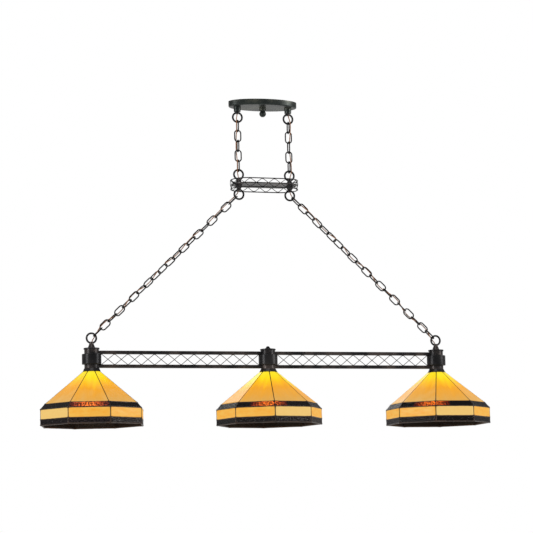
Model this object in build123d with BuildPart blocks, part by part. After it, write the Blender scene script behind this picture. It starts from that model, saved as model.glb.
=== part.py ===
# Pool table lamp: a straight bar with three eight-sided leaded glass shades, hung by two link
# chains from an oval openwork spreader, which hangs by two short chains from an oval canopy.
# Millimetres. +Z is up, X runs along the bar, and the origin is on the ceiling at the canopy's middle.
from build123d import *
import os
from math import acos, cos, pi, radians, sin, sqrt, tan

os.makedirs("parts", exist_ok=True)

# ---- driving dimensions ----
# chain and loops
link_length = 38.1  # one link, outside
link_width = 22.5
link_wire = 3.8
ring_radius = 14.2  # centre line of a suspension loop
ring_wire = 5.6
boss_diameter = 12.0  # threaded foot of a loop
boss_seat = 28.5  # from a loop's centre to the face its collar seats on
canopy_seat = 31.5  # the same for the two loops under the canopy
chain_gap = 0.4  # play between hooked wires
upper_links = 5
arm_links = 20
# canopy
canopy_length = 210.0
canopy_width = 106.0
canopy_height = 17.0
canopy_edge = 4.0  # rounding of its lower edge
sheet_wall = 1.2
loop_spacing = 158.0  # between the two loops, on the canopy and on the spreader
strap_holes = 88.9  # outlet box screws
strap_width = 22.0
strap_thickness = 2.0
screw_hole = 4.8
connector_x = 30.0  # wide end of a wire connector
connector_y = 22.0
connector_lift = 6.0  # its middle above the canopy floor
# threaded rods and nuts
rod_diameter = 9.5
rod_bore = 5.0
thread_play = 0.1
nut_across = 14.0
nut_height = 3.0
# spreader
spreader_length = 204.0  # to the middle of its rim wires
spreader_width = 92.0
band_height = 30.0
rim_wire = 3.2
lattice_wire = 1.9
plate_thickness = 3.0
# light bar
hub_spacing = 530.0
hub_diameter = 42.0
hub_wall = 1.5
sleeve_wall = 7.0  # of the sleeve round a hub, between the rails
flange_lip = 2.0  # how far the flange on top stands out
flange_thickness = 4.5
rail_height = 10.0
rail_depth = 12.0
rail_wall = 1.2
rail_drop = 7.5  # top of the upper rail below the seat face of the hub
bar_gap = 30.0  # open height between the rails
bar_cells = 12  # crossed wires in each half of the bar
# lamps
socket_diameter = 36.0
socket_wall = 3.5
socket_height = 66.0
base_diameter = 26.4
base_height = 25.0
bulb_diameter = 60.0
bulb_height = 84.0
bulb_wall = 1.0
lock_ring_diameter = 40.0
lock_ring_height = 4.0
# shades
swivel_play = 0.3
lead_play = 0.6  # between the lock ring and the shade's lead
cap_lip = 4.5  # how far the cap stands out beyond the hub
cap_height = 8.0
shade_across = 288.0  # across the flats, outside the skirt
cone_height = 97.0
shoulder_height = 14.5
skirt_height = 29.0
rim_height = 15.5
shoulder_ratio = 0.916  # cone's foot to the skirt
glass = 3.0
came_radius = 2.0
panels = 8
shade_turn = {"left": 7.4, "centre": -10.3, "right": 21.7}  # first corner, degrees from +X
# lamp cord
cord_diameter = 3.0
cord_beside = 4.5  # from the plane of the link it passes
cord_weave = 10.0  # corner of the weave, from the chain's middle
cord_gap = 4.0  # left open where the cord crosses a joint

# ---- sizes that follow ----
hook = (ring_wire + link_wire) / 2 + chain_gap  # centre to centre, link on loop
pitch = link_length - 2 * link_wire - chain_gap
half_link = (link_length - link_wire) / 2
boss_mouth = ring_radius - ring_wire / 2 - 1  # from a loop's centre


def chain_span(links):
    # between the wires of the two loops that a chain joins
    return 2 * half_link + (links - 1) * pitch - 2 * hook


loop_x = loop_spacing / 2
canopy_ring_z = -canopy_height - canopy_seat
upper_span = chain_span(upper_links)
arm_span = chain_span(arm_links)
spreader_ring_z = canopy_ring_z - 2 * ring_radius - upper_span
plate_top = spreader_ring_z - boss_seat
plate_z = plate_top - plate_thickness / 2
arm_ring_z = plate_top - plate_thickness - boss_seat
arm_reach = hub_spacing - loop_x
arm_length = arm_span + 2 * ring_radius
hub_ring_z = arm_ring_z - sqrt(arm_length**2 - arm_reach**2)
arm_angle = acos(arm_reach / arm_length)  # below the level, radians
flange_top = hub_ring_z - boss_seat
hub_top = flange_top - flange_thickness
upper_rail_z = flange_top - rail_drop - rail_height / 2
gap_top = upper_rail_z - rail_height / 2
gap_bottom = gap_top - bar_gap
lower_rail_z = gap_bottom - rail_height / 2
hub_bottom = lower_rail_z - rail_height / 2 - 1
cap_top = hub_bottom - swivel_play
cap_bottom = cap_top - cap_height
hub_inner = hub_diameter / 2 - hub_wall
cap_edge = hub_diameter / 2 + cap_lip
sleeve_diameter = hub_diameter + 2 * sleeve_wall
flange_diameter = hub_diameter + 2 * flange_lip
socket_top = gap_bottom + 6
socket_mouth = socket_top - socket_height
sides = {"left": -1, "right": 1}
hubs = {"left": -hub_spacing, "centre": 0.0, "right": hub_spacing}


def save(part, name):
    part.label = name
    export_step(part, f"parts/{name}.step")


# ---- shapes that repeat ----
def ring_with_boss(reach):
    # a loop in the XZ plane with its threaded foot pointing up, reaching `reach` from its centre
    with BuildPart() as ring:
        with BuildSketch(Plane.XY):
            with Locations((ring_radius, 0)):
                Circle(ring_wire / 2)
        revolve(axis=Axis.Y)
    with BuildPart() as loop:
        add(ring.part)
        with BuildSketch(Plane.XY.offset(boss_mouth)):
            Circle(boss_diameter / 2)
        extrude(amount=ring_wire + 1)
        with BuildSketch(Plane.XY.offset(ring_radius)):
            Circle(rod_diameter / 2)
        extrude(amount=reach - ring_radius)
        with BuildSketch(Plane.XY):
            Circle(rod_bore / 2)
        extrude(amount=reach + 1, mode=Mode.SUBTRACT)
    return loop.part


def cone_collar(top_diameter, foot_diameter, height, base_z):
    # a turned collar around a rod, standing on base_z
    with BuildPart() as collar:
        with BuildSketch(Plane.XY.offset(base_z)):
            Circle(foot_diameter / 2)
        with BuildSketch(Plane.XY.offset(base_z + height)):
            Circle(top_diameter / 2)
        loft()
        with BuildSketch(Plane.XY.offset(base_z - 1)):
            Circle(rod_diameter / 2 + thread_play)
        extrude(amount=height + 2, mode=Mode.SUBTRACT)
    return collar.part


def chain_link():
    # a link in the XZ plane, long way up, round its own middle
    straight = link_length - link_width
    with BuildPart() as link:
        with BuildLine(Plane.XZ) as path:
            right = (link_width - link_wire) / 2
            Line((right, 0), (right, straight / 2))
            CenterArc((0, straight / 2), right, 0, 180)
            Line((-right, straight / 2), (-right, -straight / 2))
            CenterArc((0, -straight / 2), right, 180, 180)
            Line((right, -straight / 2), (right, 0))
        with BuildSketch(Plane.XY.offset(0)):
            with Locations((right, 0)):
                Circle(link_wire / 2)
        sweep(path=path.wire())
    return link.part


def hex_nut(z):
    with BuildPart() as nut:
        with BuildSketch(Plane.XY.offset(z)):
            RegularPolygon(nut_across / 2, 6, major_radius=False)
            Circle(rod_diameter / 2 + thread_play, mode=Mode.SUBTRACT)
        extrude(amount=nut_height)
    return nut.part


def bend_radii(points):
    # each arc is 0.45 of its shorter run over the tangent of half the turn
    radii = []
    for before, corner, after in zip(points, points[1:], points[2:]):
        one, two = corner - before, after - corner
        turn = radians(one.get_angle(two))
        radii.append(0.45 * min(one.length, two.length) / tan(turn / 2))
    return radii


def cord_tube(points, name):
    # the cord along straight runs joined by tangent arcs
    radii = bend_radii(points)
    with BuildPart() as tube:
        with BuildLine() as path:
            FilletPolyline(*points, radius=radii)
        run = path.wire()
        with BuildSketch(Plane(origin=run @ 0, z_dir=run % 0)):
            Circle(cord_diameter / 2)
        sweep(path=run)
    length = tube.part.volume / (pi * cord_diameter**2 / 4)
    print(name, "length", round(length, 1), "path", round(run.length, 1))
    print("  radii", [round(r, 1) for r in radii])
    return tube.part


def between(whole, first=None, second=None):
    # the stretch of a cord past the first plane and before the second
    with BuildPart() as piece:
        add(whole)
        if first:
            split(bisect_by=first, keep=Keep.TOP)
        if second:
            split(bisect_by=second, keep=Keep.BOTTOM)
    return piece.part


def grouped(parts):
    # separate solids that share a node
    return Compound(children=[solid for part in parts for solid in part.solids()])


link = chain_link()
edge_link = link.rotate(Axis.Z, 90)

# ---- canopy ----
def oval_block(length, width, height, edge):
    with BuildPart() as block:
        with BuildSketch(Plane.XY.offset(-height)):
            Ellipse(length / 2, width / 2)
        extrude(amount=height)
        fillet(block.edges().group_by(Axis.Z)[0], radius=edge)
    return block.part


with BuildPart() as canopy_pan:
    add(oval_block(canopy_length, canopy_width, canopy_height, canopy_edge))
    add(
        oval_block(
            canopy_length - 2 * sheet_wall,
            canopy_width - 2 * sheet_wall,
            canopy_height - sheet_wall,
            canopy_edge - sheet_wall,
        ),
        mode=Mode.SUBTRACT,
    )
    with BuildSketch(Plane.XY.offset(-canopy_height - 1)):
        with Locations((-loop_x, 0), (loop_x, 0), (0, 0)):
            Circle(rod_diameter / 2 + thread_play)
    extrude(amount=sheet_wall + 2, mode=Mode.SUBTRACT)
save(canopy_pan.part, "canopy_pan")
canopy_floor = -canopy_height + sheet_wall

with BuildPart() as mounting_strap:
    with BuildSketch(Plane.XY.offset(-strap_thickness)):
        SlotOverall(strap_holes + strap_width, strap_width)
        with Locations((-strap_holes / 2, 0), (strap_holes / 2, 0)):
            Circle(screw_hole / 2, mode=Mode.SUBTRACT)
        Circle(rod_diameter / 2 + thread_play, mode=Mode.SUBTRACT)
    extrude(amount=strap_thickness)
save(mounting_strap.part, "mounting_strap")

knob_collar_height = 11.0
stud_end = -canopy_height - knob_collar_height + 3
with BuildPart() as mounting_stud:
    with BuildSketch(Plane.XY.offset(stud_end)):
        Circle(rod_diameter / 2)
    extrude(amount=-stud_end - 0.5)
    with BuildSketch(Plane.XY.offset(-strap_thickness - nut_height)):
        RegularPolygon(nut_across / 2, 6, major_radius=False)
    extrude(amount=nut_height)
save(mounting_stud.part, "mounting_stud")

knob_collar = 20.0
knob_ball = 20.0
with BuildPart() as canopy_knob:
    with BuildSketch(Plane.XZ):
        with BuildLine():
            foot = -canopy_height - knob_collar_height
            Polyline(
                (0, -canopy_height),
                (knob_collar / 2, -canopy_height),
                (knob_collar / 2, foot + 3),
                (knob_collar / 2 - 3, foot),
                (0, foot),
                (0, -canopy_height),
            )
        make_face()
        with Locations((0, foot - knob_ball / 2 + 3)):
            Circle(knob_ball / 2)
        with Locations((-knob_ball, foot)):
            Rectangle(2 * knob_ball, 6 * knob_ball, mode=Mode.SUBTRACT)
    revolve(axis=Axis.Z)
    with BuildSketch(Plane.XY.offset(stud_end)):
        Circle(rod_diameter / 2 + thread_play)
    extrude(amount=knob_collar_height, mode=Mode.SUBTRACT)
save(canopy_knob.part, "canopy_knob")

stem_in_canopy = canopy_seat + sheet_wall + nut_height + 0.8
canopy_loop = ring_with_boss(stem_in_canopy)
save(grouped([Pos(s * loop_x, 0, canopy_ring_z) * canopy_loop for s in sides.values()]), "canopy_loops")

boss_top = ring_radius + ring_wire / 2
canopy_collar_diameter = 22.0
canopy_collar = cone_collar(canopy_collar_diameter - 2, canopy_collar_diameter, canopy_seat - boss_top, 0)
turned_collar = canopy_collar.mirror(Plane.XY)
save(
    grouped([Pos(s * loop_x, 0, -canopy_height) * turned_collar for s in sides.values()]),
    "canopy_collars",
)
save(grouped([Pos(s * loop_x, 0, 0) * hex_nut(canopy_floor) for s in sides.values()]), "loop_nuts")

with BuildPart() as wire_connectors:
    for s in sides.values():
        with BuildSketch(Plane.YZ.offset(s * connector_x)):
            with Locations((connector_y, canopy_floor + connector_lift)):
                Circle(5)
        extrude(amount=-s * 16, taper=6)
save(wire_connectors.part, "wire_connectors")

# ---- upper chains ----
# distances down the chain are measured from the wire of the loop above
def link_middle(number):
    return half_link - hook + (number - 1) * pitch


chain_top = canopy_ring_z - ring_radius
for side, s in sides.items():
    lead = Pos(s * loop_x, 0, chain_top - link_middle(1)) * edge_link
    save(lead, f"{side}_lead_link")
    rest = []
    for number in range(2, upper_links + 1):
        shape = edge_link if number % 2 else link
        rest.append(Pos(s * loop_x, 0, chain_top - link_middle(number)) * shape)
    save(grouped(rest), f"{side}_hanger_links")

# ---- spreader ----
end_radius = spreader_width / 2
side_length = spreader_length - spreader_width
side_cells = 3
end_cells = 4


def stadium_path(plane):
    with BuildLine(plane) as path:
        half = side_length / 2
        Line((0, -end_radius), (half, -end_radius))
        CenterArc((half, 0), end_radius, -90, 180)
        Line((half, end_radius), (-half, end_radius))
        CenterArc((-half, 0), end_radius, 90, 180)
        Line((-half, -end_radius), (0, -end_radius))
    return path.wire()


rims = []
for level in (1, -1):
    rim_z = plate_z + level * (band_height - rim_wire) / 2
    path = stadium_path(Plane.XY.offset(rim_z))
    with BuildPart() as rim:
        with BuildSketch(Plane.YZ):
            with Locations((-end_radius, rim_z)):
                Circle(rim_wire / 2)
        sweep(path=path)
    rims.append(rim.part)
save(grouped(rims), "spreader_rims")

lattice_reach = band_height / 2 - rim_wire  # wires run between the rims


def wall_point(distance, z, offset):
    # a point on the band's wall, counted along it from the middle of the near side
    quarter = side_length / 2
    turn = pi * end_radius
    radius = end_radius + offset
    whole = 2 * side_length + 2 * turn
    d = distance % whole
    if d < quarter:
        return (d, -radius, z)
    if d < quarter + turn:
        angle = (d - quarter) / end_radius - pi / 2
        return (quarter + radius * cos(angle), radius * sin(angle), z)
    if d < quarter + turn + side_length:
        return (quarter - (d - quarter - turn), radius, z)
    if d < quarter + 2 * turn + side_length:
        angle = (d - quarter - turn - side_length) / end_radius + pi / 2
        return (-quarter + radius * cos(angle), radius * sin(angle), z)
    return (d - whole, -radius, z)


def band_wire(start, end, slope):
    # one lattice wire, from the lower rim to the upper, or down where the slope is -1
    offset = slope * (lattice_wire / 2 + 0.05)
    inset = lattice_wire * 0.5
    reach = lattice_reach + lattice_wire / 2
    low, high = plate_z - slope * reach, plate_z + slope * reach
    points = [
        wall_point(start + inset, low, offset),
        wall_point((start + end) / 2, plate_z, offset),
        wall_point(end - inset, high, offset),
    ]
    with BuildPart() as wire:
        with BuildLine() as path:
            straight = Vector(points[2]) - Vector(points[0])
            middle = (Vector(points[2]) + Vector(points[0])) / 2
            if (Vector(points[1]) - middle).length < 0.01:
                Line(points[0], points[2])
            else:
                ThreePointArc(*points)
        run = path.wire()
        with BuildSketch(Plane(origin=run @ 0, z_dir=run % 0)):
            Circle(lattice_wire / 2)
        sweep(path=run)
        split(bisect_by=Plane.XY.offset(plate_z + lattice_reach), keep=Keep.BOTTOM)
        split(bisect_by=Plane.XY.offset(plate_z - lattice_reach), keep=Keep.TOP)
    return wire.part


cell_ends = [-side_length / 2 + side_length * i / side_cells for i in range(side_cells)]
cell_ends += [side_length / 2 + pi * end_radius * i / end_cells for i in range(end_cells)]
half_way = side_length + pi * end_radius
cell_ends += [d + half_way for d in cell_ends]
wires = []
for start, end in zip(cell_ends, cell_ends[1:] + [cell_ends[0] + 2 * half_way]):
    wires += [band_wire(start, end, 1), band_wire(start, end, -1)]
save(grouped(wires), "spreader_lattice")

plate_edge = lattice_wire + 0.4  # clear of the lattice wires
with BuildPart() as spreader_plate:
    with BuildSketch(Plane.XY.offset(plate_z - plate_thickness / 2)):
        SlotOverall(spreader_length - 2 * plate_edge, spreader_width - 2 * plate_edge)
        with Locations((-loop_x, 0), (loop_x, 0)):
            Circle(rod_diameter / 2 + thread_play, mode=Mode.SUBTRACT)
    extrude(amount=plate_thickness)
save(spreader_plate.part, "spreader_plate")

short_stem = boss_top + 2.5
down_loop = ring_with_boss(short_stem)
up_loop = down_loop.rotate(Axis.X, 180)
save(
    grouped(
        [Pos(s * loop_x, 0, spreader_ring_z) * up_loop for s in sides.values()]
        + [Pos(s * loop_x, 0, arm_ring_z) * down_loop for s in sides.values()]
    ),
    "spreader_loops",
)
collar_top = boss_diameter + 1.4
collar_foot = 22.0
collar = cone_collar(collar_top, collar_foot, boss_seat - boss_top, 0)
save(
    grouped(
        [Pos(s * loop_x, 0, plate_top) * collar for s in sides.values()]
        + [
            Pos(s * loop_x, 0, plate_top - plate_thickness) * collar.mirror(Plane.XY)
            for s in sides.values()
        ]
    ),
    "spreader_collars",
)


def hollow_rod(top, bottom):
    with BuildPart() as rod:
        with BuildSketch(Plane.XY.offset(bottom)):
            Circle(rod_diameter / 2)
            Circle(rod_bore / 2, mode=Mode.SUBTRACT)
        extrude(amount=top - bottom)
    return rod.part


rod_top = spreader_ring_z - short_stem
rod_bottom = arm_ring_z + short_stem
save(
    grouped([Pos(s * loop_x, 0, 0) * hollow_rod(rod_top, rod_bottom) for s in sides.values()]),
    "spreader_rods",
)


# ---- light bar ----
def rail(z):
    # a closed channel between two hubs, its ends hollowed to fit round them
    with BuildPart() as channel:
        with BuildSketch(Plane.YZ):
            with Locations((0, z)):
                RectangleRounded(rail_depth, rail_height, 2.0)
                RectangleRounded(
                    rail_depth - 2 * rail_wall, rail_height - 2 * rail_wall, 0.8, mode=Mode.SUBTRACT
                )
        extrude(amount=hub_spacing)
        with BuildSketch(Plane.XY.offset(z - rail_height)):
            with Locations((0, 0), (hub_spacing, 0)):
                Circle(hub_diameter / 2)
        extrude(amount=2 * rail_height, mode=Mode.SUBTRACT)
    return channel.part


rails = [Pos(x, 0, 0) * rail(z) for z in (upper_rail_z, lower_rail_z) for x in (-hub_spacing, 0)]
save(grouped(rails), "bar_rails")

lattice_length = hub_spacing - sleeve_diameter
cell = lattice_length / bar_cells


def bar_wire(slope):
    # one wire of the bar's lattice, its ends cut flush with the rails
    offset = slope * (lattice_wire / 2 + 0.05)
    run = Vector(cell - lattice_wire * 1.2, 0, slope * bar_gap)
    middle = Vector(0, offset, (gap_top + gap_bottom) / 2)
    with BuildPart() as wire:
        with BuildSketch(Plane(origin=middle, z_dir=run.normalized())):
            Circle(lattice_wire / 2)
        extrude(amount=run.length / 2 + lattice_wire * 2, both=True)
        split(bisect_by=Plane.XY.offset(gap_top), keep=Keep.BOTTOM)
        split(bisect_by=Plane.XY.offset(gap_bottom), keep=Keep.TOP)
    return wire.part


bar_wires_pair = [bar_wire(1), bar_wire(-1)]
cell_middles = [sleeve_diameter / 2 + cell * (i + 0.5) for i in range(bar_cells)]
lattice = []
for start in (-hub_spacing, 0):
    for middle in cell_middles:
        lattice += [Pos(start + middle, 0, 0) * wire for wire in bar_wires_pair]
save(grouped(lattice), "bar_lattice")

wire_way = rod_bore
with BuildPart() as hub_tube:
    with BuildSketch(Plane.XY.offset(hub_bottom)):
        Circle(hub_diameter / 2)
        Circle(hub_inner, mode=Mode.SUBTRACT)
    extrude(amount=hub_top - hub_bottom)
    with BuildSketch(Plane.YZ):
        with Locations((0, upper_rail_z)):
            Circle(wire_way / 2)
    extrude(amount=hub_diameter, both=True, mode=Mode.SUBTRACT)
save(grouped([Pos(x, 0, 0) * hub_tube.part for x in hubs.values()]), "hub_tubes")

with BuildPart() as hub_flange:
    with BuildSketch(Plane.XY.offset(hub_top)):
        Circle(flange_diameter / 2)
        Circle(rod_diameter / 2 + thread_play, mode=Mode.SUBTRACT)
    extrude(amount=flange_thickness)
    rounded = hub_flange.edges().filter_by(GeomType.CIRCLE).sort_by(SortBy.RADIUS)[-2:]
    fillet(rounded, radius=1.0)
save(grouped([Pos(x, 0, 0) * hub_flange.part for x in hubs.values()]), "hub_flanges")

with BuildPart() as hub_sleeve:
    with BuildSketch(Plane.XY.offset(gap_bottom)):
        Circle(sleeve_diameter / 2)
        Circle(hub_diameter / 2 + thread_play, mode=Mode.SUBTRACT)
    extrude(amount=bar_gap)
    rounded = hub_sleeve.edges().filter_by(GeomType.CIRCLE).sort_by(SortBy.RADIUS)[-2:]
    fillet(rounded, radius=1.5)
save(grouped([Pos(x, 0, 0) * hub_sleeve.part for x in hubs.values()]), "hub_sleeves")

neck = cone_collar(collar_top, collar_foot, boss_seat - boss_top, flange_top)
save(grouped([Pos(s * hub_spacing, 0, 0) * neck for s in sides.values()]), "hub_necks")
save(grouped([Pos(s * hub_spacing, 0, hub_ring_z) * up_loop for s in sides.values()]), "hub_loops")

finial_diameter = 16.0
finial_height = 8.0
with BuildPart() as centre_finial:
    with BuildSketch(Plane.XY.offset(flange_top)):
        Circle(finial_diameter / 2)
    extrude(amount=2)
    with BuildSketch(Plane.XY.offset(flange_top + 2)):
        Circle(finial_diameter / 2 - 0.5)
    extrude(amount=finial_height - 2, taper=35)
    fillet(centre_finial.edges().group_by(Axis.Z)[-1], radius=2)
save(centre_finial.part, "centre_finial")

end_rod_top = hub_ring_z - short_stem
hub_rods = [Pos(s * hub_spacing, 0, 0) * hollow_rod(end_rod_top, socket_top) for s in sides.values()]
hub_rods.append(hollow_rod(flange_top, socket_top))
save(grouped(hub_rods), "hub_rods")

with BuildPart() as lamp_socket:
    with BuildSketch(Plane.XY.offset(socket_mouth)):
        Circle(socket_diameter / 2)
    extrude(amount=socket_height)
    fillet(lamp_socket.edges().group_by(Axis.Z)[-1], radius=2)
    with BuildSketch(Plane.XY.offset(socket_mouth - 1)):
        Circle(socket_diameter / 2 - socket_wall)
    extrude(amount=base_height + 6, mode=Mode.SUBTRACT)
save(grouped([Pos(x, 0, 0) * lamp_socket.part for x in hubs.values()]), "lamp_sockets")

cap_plate = 1.5
ring_top = cap_top - cap_plate - swivel_play
with BuildPart() as shade_ring:
    with BuildSketch(Plane.XY.offset(ring_top - lock_ring_height)):
        Circle(lock_ring_diameter / 2)
        Circle(socket_diameter / 2 + thread_play, mode=Mode.SUBTRACT)
    extrude(amount=lock_ring_height)
save(grouped([Pos(x, 0, 0) * shade_ring.part for x in hubs.values()]), "shade_rings")

# arm chains: the first and the last link stand edge-on to their loops, so each turns a little
# less than a quarter past the one before
twist = 90.0 * (arm_links - 2) / (arm_links - 1)


def arm_frame(s):
    # along the chain, across it, and outwards above it
    along = Vector(s * cos(arm_angle), 0, -sin(arm_angle))
    return along, Vector(0, 1, 0), Vector(s * sin(arm_angle), 0, cos(arm_angle))


def arm_point(s, distance, across_by=0.0, up_by=0.0):
    # counted from the centre of the spreader's lower loop
    along, across, up = arm_frame(s)
    start = Vector(s * loop_x, 0, arm_ring_z)
    return start + along * distance + across * across_by + up * up_by


arm_parts = []
for s in sides.values():
    along, across, up = arm_frame(s)
    for number in range(1, arm_links + 1):
        turn = radians(twist * (number - 1))
        lateral = across * cos(turn) + up * sin(turn)
        middle = arm_point(s, ring_radius + link_middle(number))
        arm_parts.append(Plane(origin=middle, x_dir=lateral, z_dir=along).location * link)
save(grouped(arm_parts), "arm_chains")

# ---- lamp cord ----
# One cord a side: out of the canopy through the hollow foot of its loop, beside every edge-on
# link and through the others, down through the spreader, along the arm chain in the same way,
# and into the end hub.
cord_level = canopy_floor + connector_lift
turn_level = -4.6  # where it turns down into the loop's foot
entry = boss_mouth - 0.5  # corner at a loop's foot, from the loop's centre


def cord_route(s):
    x = s * loop_x
    beside = s * (loop_x + cord_beside)
    inside = s * (loop_x + cord_beside + 0.5)  # where it passes a loop's wire
    route = [
        Vector(s * connector_x, connector_y, cord_level),
        Vector(s * (connector_x + 12), connector_y, cord_level),
        Vector(s * (loop_x - 18), 4, turn_level - 1.5),
        Vector(x, 0, turn_level),
        Vector(x, 0, canopy_ring_z + entry),
        Vector(inside, -4, chain_top + 8),
    ]
    for turn, number in enumerate(range(1, upper_links + 1, 2)):
        way = -1 if turn % 2 == 0 else 1
        route.append(Vector(beside, way * cord_weave, chain_top - link_middle(number)))
    route += [
        Vector(inside, -4, chain_top - upper_span - 8),
        Vector(x, 0, spreader_ring_z - entry),
        Vector(x, 0, arm_ring_z + entry),
        arm_point(s, 7, 3.8, 4),
    ]
    step = radians(180 - 2 * twist)
    along, across, up = arm_frame(s)
    for turn in range(arm_links // 2):
        lateral = across * cos(step * turn) - up * sin(step * turn)
        normal = up * cos(step * turn) + across * sin(step * turn)
        way = 1 if turn % 2 == 0 else -1
        middle = arm_point(s, ring_radius + link_middle(2 * turn + 1))
        route.append(middle + lateral * (way * cord_weave) + normal * cord_beside)
    end = s * hub_spacing
    route += [
        arm_point(s, arm_length - 5, 6, -6),
        Vector(end, 0, hub_ring_z - entry + 1),
        Vector(end, 0, socket_top + 4),
    ]
    return route


def cut_at(z):
    # looks down, so that "past" it is below
    return Plane((0, 0, z), z_dir=(0, 0, -1))


for_root, for_spreader = [], []
lead_foot = chain_top - link_middle(1) - half_link  # the wire that the hanger turns on
tail_foot = chain_top - upper_span - hook  # the wire that the spreader turns on
for side, s in sides.items():
    whole = cord_tube(cord_route(s), f"{side} cord")
    lead_top = chain_top + 10
    for_root.append(between(whole, None, cut_at(lead_top + cord_gap / 2)))
    lead_cord = between(whole, cut_at(lead_top - cord_gap / 2), cut_at(lead_foot + cord_gap / 2))
    save(grouped([lead_cord]), f"{side}_lead_cord")
    hanger = between(whole, cut_at(lead_foot - cord_gap / 2 - 1), cut_at(tail_foot + cord_gap / 2))
    save(grouped([hanger]), f"{side}_hanger_cord")
    along = arm_frame(s)[0]
    upper_cut = Plane(arm_point(s, 6), z_dir=along)
    lower_cut = Plane(arm_point(s, 6 + cord_gap), z_dir=along)
    below_tail = between(whole, cut_at(tail_foot - cord_gap / 2 - 1), None)
    for_spreader.append(between(below_tail, None, upper_cut))
    save(grouped([between(below_tail, lower_cut, None)]), f"{side}_arm_cord")
save(grouped(for_root), "canopy_cords")
save(grouped(for_spreader), "spreader_cords")

# conductors through the upper rails to the middle socket
with BuildPart() as bar_wires:
    for s in sides.values():
        with BuildSketch(Plane.YZ.offset(s * (hub_inner - 8))):
            with Locations((0, upper_rail_z)):
                Circle(cord_diameter / 2)
        extrude(amount=s * (hub_spacing - 2 * (hub_inner - 8)))
save(bar_wires.part, "bar_wires")

# ---- shades ----
half_turn = pi / panels
skirt_apothem = shade_across / 2 - glass / 2
cap_slope_top = hub_diameter / 2 + 1
top_apothem = lock_ring_diameter / 2 + lead_play + came_radius
shade_top = cap_bottom - came_radius
cone_foot = cap_bottom - cone_height
shoulder_foot = cone_foot - shoulder_height
skirt_foot = shoulder_foot - skirt_height
rim_foot = skirt_foot - rim_height
cone_apothem = shoulder_ratio * skirt_apothem
profile = {
    "top": (top_apothem, shade_top),
    "cone": (cone_apothem, cone_foot),
    "shoulder": (skirt_apothem, shoulder_foot),
    "skirt": (skirt_apothem, skirt_foot),
    "rim": (skirt_apothem, rim_foot),
}
glass_play = 0.1


def panel_ring(upper, lower):
    # eight flat panes of glass between two levels, each short of its lead by glass_play
    (r1, z1), (r2, z2) = upper, lower
    slant = sqrt((r2 - r1) ** 2 + (z2 - z1) ** 2)
    down = Vector(r2 - r1, 0, z2 - z1).normalized()
    middle = Vector((r1 + r2) / 2, 0, (z1 + z2) / 2)
    w1, w2 = r1 * tan(half_turn), r2 * tan(half_turn)
    across = Vector(0, 1, 0)
    with BuildPart() as pane:
        with BuildSketch(Plane(origin=middle, x_dir=across, z_dir=across.cross(down * -1))):
            with BuildLine():
                Polyline(
                    (-w1, slant / 2), (w1, slant / 2), (w2, -slant / 2), (-w2, -slant / 2), close=True
                )
            make_face()
            offset(amount=-(came_radius + glass_play), mode=Mode.REPLACE)
        extrude(amount=glass / 2, both=True)
    return [pane.part.rotate(Axis.Z, 360 * i / panels + 180 / panels) for i in range(panels)]


def corner(level):
    apothem, z = profile[level]
    return Vector(apothem / cos(half_turn), 0, z)


def lead_ring(level):
    # an eight-sided ring of round lead, mitred at its corners
    apothem, z = profile[level]
    start = Vector(apothem, 0, z)
    corners = [
        Vector(apothem, apothem * tan(half_turn), z).rotate(Axis.Z, 360 * i / panels)
        for i in range(panels)
    ]
    with BuildPart() as ring:
        with BuildLine() as path:
            Polyline(start, *corners, start)
        with BuildSketch(Plane.XZ):
            with Locations((apothem, z)):
                Circle(came_radius)
        sweep(path=path.wire(), transition=Transition.RIGHT)
    return ring.part.rotate(Axis.Z, 180 / panels)


def lead_bar(upper, lower):
    start, end = corner(upper), corner(lower)
    run = end - start
    with BuildPart() as bar:
        with BuildSketch(Plane(origin=start, z_dir=run.normalized())):
            Circle(came_radius * 0.9)
        extrude(amount=run.length)
    return bar.part


levels = list(profile)
lead = lead_ring(levels[0])
for level in levels[1:]:
    lead = lead + lead_ring(level)
bars = []
for upper, lower in zip(levels, levels[1:]):
    one = lead_bar(upper, lower)
    bars += [one.rotate(Axis.Z, 360 * i / panels) for i in range(panels)]
lead = lead + bars

cone_panes = panel_ring(profile["top"], profile["cone"])
shoulder_panes = panel_ring(profile["cone"], profile["shoulder"])
skirt_panes = panel_ring(profile["shoulder"], profile["skirt"])
rim_panes = panel_ring(profile["skirt"], profile["rim"])

with BuildPart() as shade_cap:
    with BuildSketch(Plane.XZ):
        with BuildLine():
            hole = socket_diameter / 2 + swivel_play
            edge = cap_edge
            Polyline(
                (hole, cap_top),
                (cap_slope_top, cap_top),
                (edge, cap_bottom),
                (edge - sheet_wall, cap_bottom),
                (cap_slope_top - sheet_wall, cap_top - cap_plate),
                (hole, cap_top - cap_plate),
                close=True,
            )
        make_face()
    revolve(axis=Axis.Z)


def glass_piece(parts, side):
    return grouped([Pos(hubs[side], 0, 0) * p.rotate(Axis.Z, shade_turn[side]) for p in parts])


neck_top = socket_mouth - 1.0
ball_z = neck_top - bulb_height + bulb_diameter / 2
neck_radius = base_diameter / 2 - 0.6


def bulb_shape(shrink):
    # the bulb's outline turned about its axis, smaller all round by `shrink`
    ball, neck = bulb_diameter / 2 - shrink, neck_radius - shrink
    with BuildPart() as shape:
        with BuildSketch(Plane.XZ):
            with BuildLine():
                Line((0, neck_top - shrink), (neck, neck_top - shrink))
                Line((neck, neck_top - shrink), (neck, neck_top - 6))
                Spline((neck, neck_top - 6), (ball, ball_z), tangents=[(0, -1), (0, -1)])
                CenterArc((0, ball_z), ball, -90, 90)
                Line((0, ball_z - ball), (0, neck_top - shrink))
            make_face()
        revolve(axis=Axis.Z)
    return shape.part


with BuildPart() as bulb_glass:
    add(bulb_shape(0))
    add(bulb_shape(bulb_wall), mode=Mode.SUBTRACT)

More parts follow.
